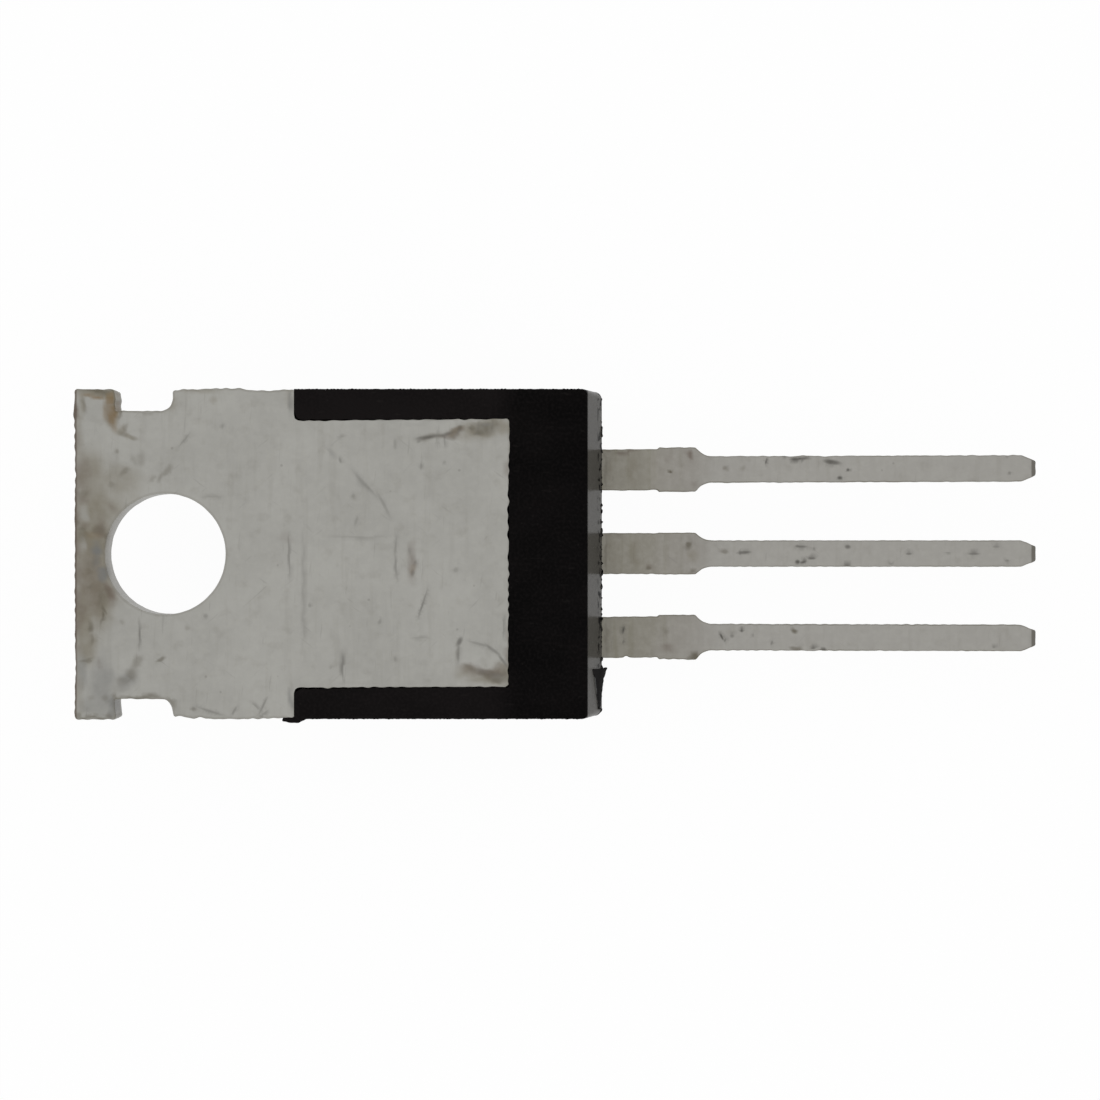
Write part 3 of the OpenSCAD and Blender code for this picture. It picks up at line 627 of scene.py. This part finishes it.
def tin_plate(name):
    """Tin plate: bare tin is clouded, rolled along Y and hair-scratched. Along the leads it turns
    brownish towards the moulding, and the cut ends are worn bare. The marks of each tone are laid
    over it in turn. The walls are darkened as painted shade, and a dark line of painted shade lies
    in patches along the edges."""
    material = bpy.data.materials.new(name)
    nodes = Nodes(material)
    place = nodes.place()
    x = nodes.add("SeparateXYZ", {}, {0: place}, "X")
    cloud = nodes.noise(place, 0.5, 3)
    tin = nodes.mix(nodes.step(cloud, 0.3, 0.7), screen(150, 149, 144), screen(158, 157, 152))

    along = (nodes.noise(place, (0.9, 0.4, 1)) - 0.5) * 1.4 + x
    lead = nodes.add("ValToRGB", {"stops": [
        (0.42, screen(131, 128, 119)), (0.48, screen(137, 134, 127)), (0.64, screen(139, 136, 130)),
        (0.8, screen(147, 145, 140)), (1, screen(150, 148, 143)),
    ]}, {0: along * (1 / BROWN_END)})
    bands = nodes.stepped(place, (4, 0.3, 1), 0.5, 0.68) * nodes.step(x, 4.2, 2.4)
    lead = nodes.mix(bands * 0.4, lead, screen(116, 113, 98))
    colour = nodes.mix(nodes.step(x, -0.6, -0.4), tin, lead)

    rolled = nodes.noise(place, (4.5, 0.45, 1))
    grain = nodes.noise(place, 5, 3)
    hair = 0
    for turn, peak in (87, 0.66), (43, 0.69), (-38, 0.69):
        hair = nodes.stepped(place, (0.9, 9, 1), peak, peak + 0.12, turn=turn) | hair
    speck = nodes.dots(place, 1.3, 0.07, 0.03)
    blotch = nodes.stepped(place, 2.4, 0.52, 0.78, 3)
    colour = nodes.mix(nodes.step(rolled, 0.5, 0.75) * 0.09 + blotch * 0.14, colour, TONES["dirt"])
    colour = nodes.mix(nodes.step(grain, 0.35, 0.75) * 0.12, colour, screen(178, 177, 171))
    colour = nodes.mix(hair * 0.13 | speck * 0.25, colour, TONES["scratch"])

    patchy = nodes.stepped(place, 3, 0.3, 0.68, 5) * 0.25 + 0.75
    worn = 0
    for tone, paint in TONES.items():
        where = nodes.own(tone) * patchy
        colour = nodes.mix(where, colour, paint)
        worn = where | worn

    rim = nodes.own("rim")
    # Painted shade: the walls and the rolled edges are darkened in the dirt tone
    colour = nodes.mix(nodes.step(rim, 0.05, 0.28) * 0.16, colour, TONES["dirt"])
    # A dark line of painted shade lies in patches along the edges, but not round the hole
    ends = {0: place, 1: (HOLE_X, 0, BACK)}
    from_hole = nodes.add("VectorMath", {"operation": "DISTANCE"}, ends, "Value")
    line = nodes.step(rim, 0.4, 1) * nodes.step(from_hole, 2, 2.3)
    line = line * (nodes.stepped(place, 1.1, 0.4, 0.62) * 0.4 + 0.08)
    colour = nodes.mix(line, colour, screen(104, 100, 86))
    cut = nodes.step(x, END_FACE + 0.08, END_FACE + 0.03) * patchy * 0.85
    colour = nodes.mix(cut, colour, screen(92, 81, 72))
    tips = nodes.step(x, TIP - 0.17, TIP - 0.12) * 0.85
    colour = nodes.mix(tips, colour, screen(98, 95, 88))

    height = grain * 0.5 + rolled * 0.5 + cloud * 0.6 - hair * 0.5 - speck * 0.6
    roughness = cloud * 0.12 + worn * 0.1 + 0.38
    sockets = {"Base Color": colour, "Metallic": 1 - worn * 0.3, "Roughness": roughness}
    nodes.finish(height, 0.004, sockets)
    return material


tab = piece("heatsink_tab_plated", welded(tab_plate), welded(lock_step),
            (bent(drain_points), drain_faces, drain_rim))
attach(tab, "root")
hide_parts("heatsink_tab")
stained(tab, [(BACK, 1.25, TAB_MARKS), (LEAD_TOP, 0.3, DRAIN_MARKS)])
plated = tin_plate("tin_plate")
tab.data.materials.append(plated)


# ---- Gate and source leads ---------------------------------------------------------
# The outer leads come from the same thin strip. Each ends inside the moulding in a waisted neck and
# a broad post, on which its wires are bonded.


POST, NECK_END, NECK = (PAD_END + 0.35, PAD_END + 1.55), PAD_END + 2, 0.425
PITCH = 2.54


def post_root(y, low, high):
    """Lower and upper corners of an outer lead's root: the post, which reaches from low to high
    across the part, then the neck, narrower than the lead."""
    lower = [(POST[0], low), (POST[1], low), (POST[1], y - NECK), (NECK_END, y - NECK),
             (NECK_END, y - WIDE)]
    upper = [(NECK_END, y + WIDE), (NECK_END, y + NECK), (POST[1], y + NECK), (POST[1], high),
             (POST[0], high)]
    return [[(*corner, 0.05) for corner in corners] for corners in (lower, upper)]


LEAD_MARKS = {"olive": [
    (212, 254, 55, 15, 90, 45), (151, 254, 55, 12, 90, 20), (282, 266, 48, 9.1, 90, 20),
], "copper": [
    (321, 295, 15, 5.5, 80, 50), (388, 300, 21, 10, 75, 85), (321, -281, 24, 14, 0, 45),
    (182, 310, 61, 4.2, 0, 60), (400, 209, 15, 4.5, 0, 30),
], "dirt": [
    (330, 244, 7, 6.3, 0, 100), (491, 263, 11, 9.2, 90, 52), (551, 263, 10, 8.6, 90, 33),
    (400, -312, 23, 8.3, 0, 100), (317, -236, 13, 8.6, 0, 33), (706, -235, 15, 9.2, 5, 100),
    (709, -282, 23, 9.1, 0, 72), (133, -252, 67, 6.1, 90, 36), (133, 254, 60, 6.1, 90, 36),
], "scratch": [
    (618, 281, 14, 3.7, 75, 100), (709, 288, 22, 5.7, 0, 100), (727, 289, 28, 5.3, 5, 100),
    (818, 277, 32, 9.1, -8, 100), (866, 254, 6, 6.3, 0, 100), (842, 231, 10, 5.8, 0, 100),
    (1348, 292, 9, 5.2, 0, 65), (1356, 245, 6, 5.2, 0, 52), (186, -231, 15, 4.9, 75, 100),
    (185, -267, 9, 3.5, 80, 59), (484, -251, 13, 4.3, -65, 100), (494, -261, 8, 4, 60, 65),
    (515, -249, 8, 7.5, 0, 52), (544, -233, 6, 5.8, 0, 100), (579, -246, 9, 3.5, 80, 52),
    (635, -269, 10, 4.6, 70, 65), (760, -285, 9, 4.3, 0, 85), (791, -291, 11, 3.7, 0, 98),
    (1308, -282, 6, 5.2, 0, 52), (676, 297, 9, 4, 0, 85),
]}
gate_dents = [(6.97, 2.94, 0.12, -0.02), (7.3, 2.96, 0.1, 0.02), (8, 2.97, 0.15, -0.02)]
gate_edge = lead_outline(PITCH + 0.015, 0.05, post_root(PITCH, 1.92, 3.96))
gate_edge = dented(ragged(gate_edge, seed=11, size=0.006), gate_dents)
gate = piece("gate_lead_plated", lead_shell(gate_edge, 0.04, LEAD_MARKS))
source_dents = [(1.94, -3.13, 0.07, -0.06), (3.9, -3.2, 0.2, 0.02), (7.6, -2.93, 0.1, 0.015)]
source_edge = lead_outline(0.02 - PITCH, 0.05, post_root(-PITCH, -3.96, -1.17))
source_edge = dented(ragged(source_edge, seed=13, size=0.006), source_dents)
source = piece("source_lead_plated", lead_shell(source_edge, -0.03, LEAD_MARKS))
for lead, node in (gate, "gate_lead"), (source, "source_lead"):
    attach(lead, "root")
    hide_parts(node)
    stained(lead, [(LEAD_TOP, 0.3, LEAD_MARKS)])
    lead.data.materials.append(plated)


# ---- Chip, solder and bond wires ---------------------------------------------------
# The silicon chip is soft-soldered to the pad's under side. Drawn aluminium wire is bonded from its
# metal pads to the posts of the outer leads, and the moulding seals it all in.


def plain_metal(name, low, high, waves, roughness):
    """Metal of two tones mixed by noise with so many waves to a millimetre, which also dents it."""
    material = bpy.data.materials.new(name)
    nodes = Nodes(material)
    pattern = nodes.noise(nodes.place(), waves, 3)
    colour = nodes.mix(nodes.step(pattern, 0.3, 0.7), low, high)
    sockets = {"Base Color": colour, "Metallic": 1, "Roughness": pattern * 0.2 + roughness}
    nodes.finish(pattern, 0.003, sockets)
    return material


chip = bpy.data.materials.new("silicon_chip")
nodes = Nodes(chip)
place = nodes.place()
facets, pads = nodes.noise(place, (1, 9, 9)), nodes.stepped(place, 0.9, 0.5, 0.62, 0)
colour = nodes.mix(nodes.step(facets, 0.3, 0.7), screen(72, 76, 84), screen(86, 90, 98))
nodes.finish(facets, 0.001, {
    "Base Color": nodes.mix(pads, colour, screen(196, 196, 198)), "Metallic": pads * 0.9 + 0.1,
    "Roughness": facets * 0.1 + 0.12,
})
solder = plain_metal("soft_solder", screen(166, 168, 171), screen(184, 186, 190), 6, 0.3)
wire = plain_metal(
    "drawn_aluminium", screen(216, 216, 217), screen(228, 228, 230), (3, 20, 20), 0.2)
for node, material in (
    ("die_solder", solder), ("silicon_die", chip), ("gate_wire", wire), ("source_wire_1", wire),
    ("source_wire_2", wire),
):
    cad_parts[node].material_slots[0].material = material


# ---- Moulding ----------------------------------------------------------------------
# Black epoxy moulded round the pad, the chip and the roots of the leads. Its walls have draft both
# ways from the parting line, which runs round it level with the near face of the leads.

PARTING = LEAD_TOP
SIDE_DRAFT, FRONT_SIDE_DRAFT, END_DRAFT, FRONT_END_DRAFT, SHOULDER_DRAFT = np.tan(
    np.radians([1, 3, 11.1, 7, 6]))
FLAP_REACH = 0.2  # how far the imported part's flap stands out past the end wall
BODY_HALF, BODY_END = TAB_HALF + 0.008, mold_high[0] - FLAP_REACH - (BACK - PARTING) * END_DRAFT
CORNER_R, CORNER_GROWTH = 0.16, 0.03  # an upright corner's radius, and its growth with depth
FRONT_R, SHOULDER_BEVEL = 0.15, 0.6
NECK_Y = 4.1  # where the pad's edge turns out into the tab
SIDE_STEPS, END_STEPS = 260, 180
WEAR_DEPTH = 0.12  # how far down from the back the sides are worn
side_line = np.stack([np.arange(2 * SIDE_STEPS), np.zeros(2 * SIDE_STEPS)], 1)
SIDE_WORN = ragged(edged(side_line), seed=17, size=0.01, shortest=4)[:, 2]


def body_ring(z, inset):
    """The moulding's sides and lead end at the height z, from the shoulder's +Y corner round to its
    -Y corner: two straight sides and the end, joined by quarter circles, all moved in by the inset.
    Down to the parting line the walls stand out and the corners grow in step with the depth, and
    below it the walls draw in. The shoulder leans back, and the sides are worn near the back."""
    depth, below = BACK - max(z, PARTING), max(PARTING - z, 0)
    half = BODY_HALF + depth * SIDE_DRAFT - below * FRONT_SIDE_DRAFT - inset
    end = BODY_END + depth * END_DRAFT - below * FRONT_END_DRAFT - inset
    corner = CORNER_R + depth * CORNER_GROWTH
    under = max(PAD_UNDER - z, 0)
    start = MOLD_START + min(under, PAD_UNDER - SHOULDER_BEVEL) * SHOULDER_DRAFT
    start += max(SHOULDER_BEVEL - z, 0)
    side = np.linspace(start, end - corner, SIDE_STEPS)
    fade = np.minimum(1, 20 * (1 - np.linspace(-1, 1, SIDE_STEPS) ** 2))
    worn = SIDE_WORN.reshape(2, -1) * fade * max(1 - (BACK - z) / WEAR_DEPTH, 0)
    turn = np.linspace(np.pi / 2, 0, 9)[1:-1]
    arc = np.stack([np.cos(turn), np.sin(turn)], 1) * corner + (end - corner, half - corner)
    across = np.linspace(half - corner, corner - half, END_STEPS)
    return np.vstack([
        np.column_stack([side, half + worn[0]]), arc,
        np.column_stack([np.full_like(across, end), across]), arc[::-1] * (1, -1),
        np.column_stack([side, -half + worn[1]])[::-1],
    ])


def shoulder_line(ring):
    """The shoulder under the tab, from the -Y end of a ring back to its +Y end, with points where
    the pocket's corners stand on it."""
    lip = np.linspace(ring[0, 1], NECK_Y, 8)
    middle = np.linspace(NECK_Y, -NECK_Y, 90)[1:-1]
    y = np.concatenate([lip, middle, -lip[::-1]])[::-1]
    return np.column_stack([np.full_like(y, ring[0, 0]), y])


def grid(rows, closed=False):
    """Patch of a surface given as rows of points, one row for each height."""
    points = np.vstack(rows)
    return points, netting(len(rows), len(rows[0]), closed), np.zeros(len(points))


# Heights of the rings and their insets, above and below the pad's under side
high_rows = [(BACK, 0.02), (BACK - 0.006, 0.006), (BACK - 0.02, 0), (BACK - WEAR_DEPTH, 0)]
high_rows += [(z, 0) for z in (4, 3.6, PAD_UNDER)]
low_rows = [(z, 0) for z in (PAD_UNDER, 2.8, 2.4, PARTING, 1.8, 1.2, SHOULDER_BEVEL, 0.35)]
for a in np.linspace(0, np.pi / 2, 6):
    low_rows.append((FRONT_R * (1 - math.sin(a)), FRONT_R * (1 - math.cos(a))))
high_rings = [(z, body_ring(z, inset)) for z, inset in high_rows]
low_rings = [(z, body_ring(z, inset)) for z, inset in low_rows]

# The pocket round the pad: the epoxy's torn inner edge laps a little over the pad's rolled rim
pocket_edge = [
    (MOLD_START - 0.6, -4.6, 0.1), (MOLD_START, -4.6, 0.1), (MOLD_START, -3.925, 0.17),
    (PAD_END, -3.9, 0.03), (PAD_END + 0.02, 3.97, 0.03), (MOLD_START, 3.92, 0.17),
    (MOLD_START, 4.6, 0.1), (MOLD_START - 0.6, 4.6, 0.1),
]
torn = ragged(rounded(pocket_edge, 0.035), seed=19, size=0.019, shortest=0.26, waves=60)
torn[torn[:, 0] <= PAD_END - 0.05, 2] *= 0.45  # the sides tore more evenly than the end
torn = pushed(dented(torn, [
    (-7, 3.92, 0.5, -0.01), (-6.9, -3.92, 0.12, 0.03), (-1.6, 3.4, 0.4, 0.03),
    (-1.6, 1, 1, -0.015), (PAD_END, 3.97, 0.1, 0.025), (PAD_END, -3.9, 0.1, 0.035),
]))
torn = torn[(torn[:, 0] > MOLD_START + 0.02) & (np.abs(torn[:, 1]) < NECK_Y)]
torn = np.roll(torn, -1 - int(np.argmax(np.linalg.norm(np.roll(torn, -1, 0) - torn, axis=1))), 0)
pocket = np.vstack([(MOLD_START, -NECK_Y), torn, (MOLD_START, NECK_Y)])[::-1]


def pocket_path(ring):
    """Inner edge of the black strips on the back, from a ring's +Y end to its -Y end: in along the
    shoulder, and round the pad."""
    lip = np.linspace(ring[0, 1], NECK_Y, 8)[:-1]
    lip = np.column_stack([np.full_like(lip, MOLD_START), lip])
    return np.vstack([lip, pocket, lip[::-1] * (1, -1)])


# The ejector pin's mark on the front, as rings further out than its radius and higher up
EJECTOR_X, EJECTOR_R, EJECTOR_DEPTH = -3.35, 0.9, 0.1
ejector_rows = [(0.015, 0), (0, 0.012), (-0.01, 0.085), (-0.03, EJECTOR_DEPTH)]
mark = [level(circle * (EJECTOR_R + out) + (EJECTOR_X, 0), z) for out, z in ejector_rows]
front_ring = low_rings[-1][1]
body = [
    grid([level(ring, z) for z, ring in high_rings + low_rings[1:]]),
    grid([level(shoulder_line(ring), z) for z, ring in low_rings]),
    grid([level(pocket_path(ring), z) for z, ring in high_rings]),
    flat_face([np.vstack([high_rings[0][1], pocket_path(high_rings[0][1])[-2:0:-1]])], BACK, 0.5),
    flat_face([np.vstack([pocket, shoulder_line(low_rings[0][1])[8:-8]])], PAD_UNDER, 0.5),
    flat_face([np.vstack([front_ring, shoulder_line(front_ring)[1:-1]]), mark[0][:, :2]], 0, 0.5),
    grid(mark, closed=True),
    flat_face([mark[-1][:, :2]], EJECTOR_DEPTH, 0.4),
]

# Flash: a thin torn fin all along the parting line, a flap peeled off one corner of the lead end,
# and a tongue that crept back along the edge of the tab
FIN_STEP, FIN_ROOT, FIN_HALF_T, SPIKE_STEP = 0.03, 0.05, 0.015, 0.07
SPIKED = 0.55  # of random heights from 0 to 1, the least that makes a spike
parting = body_ring(PARTING, 0)
reach = np.append(0, np.cumsum(np.linalg.norm(np.diff(parting, axis=0), axis=1)))
stations = np.arange(0, reach[-1], FIN_STEP)
fin_line = np.stack([np.interp(stations, reach, parting[:, k]) for k in (0, 1)], 1)
fin_out = np.gradient(fin_line, axis=0)[:, ::-1] * (-1, 1)
fin_out /= np.linalg.norm(fin_out, axis=1, keepdims=True)
spikes = np.arange(0, stations[-1] + 2 * SPIKE_STEP, SPIKE_STEP)
spikes = np.interp(stations, spikes, np.random.default_rng(23).random(len(spikes)))
at_end = np.clip((fin_line[:, 0] - fin_line[:, 0].max()) / 0.05 + 1, 0, 1)
fin_width = 0.003 + (0.008 + 0.04 * at_end) * np.clip(spikes - SPIKED, 0, 1) / (1 - SPIKED)
fin = []
for base, out, up in (-FIN_ROOT, 0, 0), (0, 0, FIN_HALF_T), (0, 1, 0), (0, 0, -FIN_HALF_T):
    fin.append(level(fin_line + fin_out * (base + out * fin_width)[:, None], PARTING + up))
last = 4 * len(fin_line)
fin_faces = netting(len(fin_line), 4, True).tolist() + [[3, 2, 1, 0], [*range(last - 4, last)]]
fin_shell = np.stack(fin, 1).reshape(-1, 3), fin_faces, np.ones(last)

# The flap hangs from the wall: its height falls steeply along X and rises gently along Y
FLAP_T, FLAP_ROOT, FLAP_Z, FLAP_SLOPE = 0.1, (0.92, -3.43), 3.57, (-2.45, 0.38)
flap_plan = [(0.88, -3.43, 0.02), (1, -3.77, 0.1), (1.1, -4.7, 0.02), (1.15, -4.68, 0.02),
             (1.25, -3.77, 0.1), (1.37, -3.42, 0.02)]
flap_edge = ragged(rounded(flap_plan, 0.03), seed=29, size=0.006, shortest=0.1)
flap_wall = [(0.01, FLAP_T / 2, 1), (0, FLAP_T / 4, 1), (0, -FLAP_T / 4, 1), (0.01, -FLAP_T / 2, 1)]
flap_points, flap_faces, flap_rim = welded(plate([(flap_edge, flap_wall)], 0.08))
flap_points[:, 2] += (flap_points[:, :2] - FLAP_ROOT) @ FLAP_SLOPE + FLAP_Z
flap_shell = flap_points, flap_faces, np.ones_like(flap_rim)
tongue_plan = [
    (-8.22, -4.8, 0.03), (-8.26, -4.92, 0.04), (-7.95, -4.975, 0.05), (-7.75, -4.97, 0.1),
    (-7.45, -4.8, 0.1), (-7.45, -4.6, 0.05), (MOLD_START + 0.02, -4.6, 0.05),
    (MOLD_START - 0.02, -4.79, 0.05),
]
tongue_edge = ragged(rounded(tongue_plan, 0.03), seed=31, size=0.006, shortest=0.2)
tongue_wall = [(0.02, BACK + 0.006, 1), (0, BACK - 0.02, 1), (0, PAD_UNDER + 0.1, 1),
               (0.02, PAD_UNDER + 0.05, 1)]
tongue = welded(plate([(tongue_edge, tongue_wall)]))

moulding = piece("mold_body_epoxy", welded(body), fin_shell, flap_shell, tongue)
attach(moulding, "root")
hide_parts("mold_body")

# Moulded black compound: almost no colour, scuffs and dust, and a pale painted sheen on the end
# wall
SHEEN = 0.0066  # only a trace of reflection is left
compound = bpy.data.materials.new("moulded_epoxy")
nodes = Nodes(compound)
place = nodes.place()
x, y, z = (nodes.add("SeparateXYZ", {}, {0: place}, axis) for axis in "XYZ")
flow, sand = nodes.noise(place, (0.5, 0.9, 0.7), 3), nodes.noise(place, 12, 3)
# Lighter in mottled patches and in the strips beside the pad, the +Y strip the most
strips = nodes.step(x, -1.2, -2.2) * (nodes.step(y, 3, 4.2) + nodes.step(y, -3, -4.2) * 0.7)
paler = nodes.step(flow, 0.3, 0.7) * 0.25 + nodes.step(sand, 0.4, 0.7) * 0.4 + strips * 0.7
colour = nodes.mix(paler, screen(10.2, 9.5, 9.5), screen(25, 22.5, 22.5))
dust, scuff = nodes.dots(place, 3, 0.1, 0.04), nodes.stepped(place, (2, 9, 3), 0.66, 0.76)
colour = nodes.mix(dust * 0.12 | scuff * 0.1, colour, screen(58, 54, 52))
# The painted sheen is left off the flash, and off flecks along the parting line
flecks = nodes.step(x, BODY_END + 0.3, BODY_END + 0.38) * nodes.step(z, PARTING - 0.05, PARTING)
flecks = nodes.stepped(place, (3, 5, 3), 0.52, 0.58, 3) * flecks
# Painted sheen: the steep end wall gets a pale colour for the light it reflects
painted_sheen = nodes.step(x, BODY_END, BODY_END + 0.04) * (1 - sand * 0.3)
painted_sheen = painted_sheen * (1 - (nodes.own("rim") | flecks))
nodes.finish(sand * 0.6 + flow * 0.4, 0.004, {
    "Base Color": nodes.mix(painted_sheen, colour, screen(77, 75, 71)), "Specular IOR Level": SHEEN,
    "Roughness": sand * 0.12 + scuff * 0.1 - painted_sheen * 0.24 + 0.36,
})
moulding.data.materials.append(compound)


# ---- Table, lamps and camera -------------------------------------------------------
# A pale table under the part, a white surround, and large soft lamps overhead. The camera looks
# straight down on the heat-sink face.


def seen_directly(nodes):
    """1 for what the camera sees, directly, in a reflection or through glass, and otherwise 0."""
    shown = 0
    for kind in "Camera", "Glossy", "Transmission":
        shown = nodes.add("LightPath", {}, {}, f"Is {kind} Ray") | shown
    return shown


SKY_LIGHT = 0.85  # how much the surround lights what isn't shiny; it is seen as 1
surround = bpy.data.worlds.new("surround")
bpy.context.scene.world = surround
nodes = Nodes(surround)
strength = seen_directly(nodes) * (1 - SKY_LIGHT) + SKY_LIGHT
sky = nodes.add("Background", {}, {"Color": (1, 1, 1, 1), "Strength": strength})
nodes.add("OutputWorld", {}, {"Surface": sky})

TABLE_HALF, TABLE_GLOW = 2000, 0.965
table_mesh = bpy.data.meshes.new("table")
table_corners = TABLE_HALF * np.array([(-1, -1), (1, -1), (1, 1), (-1, 1)])
table_mesh.from_pydata((level(table_corners, -0.01) * MM).tolist(), [], [(0, 1, 2, 3)])
table = bpy.data.objects.new("table", table_mesh)
bpy.context.scene.collection.objects.link(table)
table_top = bpy.data.materials.new("table_top")
nodes = Nodes(table_top)
matt = nodes.add("BsdfDiffuse", {}, {"Color": (0.9, 0.9, 0.9, 1)})
glow = nodes.add("Emission", {}, {"Color": (1, 1, 1, 1), "Strength": 1})
clear = nodes.add("BsdfTransparent", {}, {})
top = nodes.add("MixShader", {}, {0: seen_directly(nodes) * TABLE_GLOW, 1: matt, 2: glow})
under = nodes.add("NewGeometry", {}, {}, "Backfacing")
one_sided = nodes.add("MixShader", {}, {0: under, 1: top, 2: clear})
nodes.add("OutputMaterial", {}, {"Surface": one_sided})
table_mesh.materials.append(table_top)

# Each lamp's place and size in metres, and its watts
LAMPS = ("overhead", (0, 0.02, 0.25), 0.2, 0.016), ("left", (-0.2, 0.05, 0.18), 0.15, 0.008)
for name, at, size, power in LAMPS:
    lamp = bpy.data.lights.new(name, "AREA")
    lamp.size, lamp.energy = size, power
    stand = bpy.data.objects.new(name, lamp)
    stand.location = at
    stand.rotation_euler = Vector(at).to_track_quat("Z", "Y").to_euler()
    bpy.context.scene.collection.objects.link(stand)

eye = bpy.data.cameras.new("camera")
eye.lens, eye.sensor_width = 89, 36
eye.clip_start, eye.clip_end = 0.001, 10
camera = bpy.data.objects.new("camera", eye)
camera.location = (-0.366 * MM, 0.118 * MM, 84.5 * MM)
bpy.context.scene.collection.objects.link(camera)
bpy.context.scene.camera = camera
bpy.context.scene.view_settings.view_transform = "Standard"
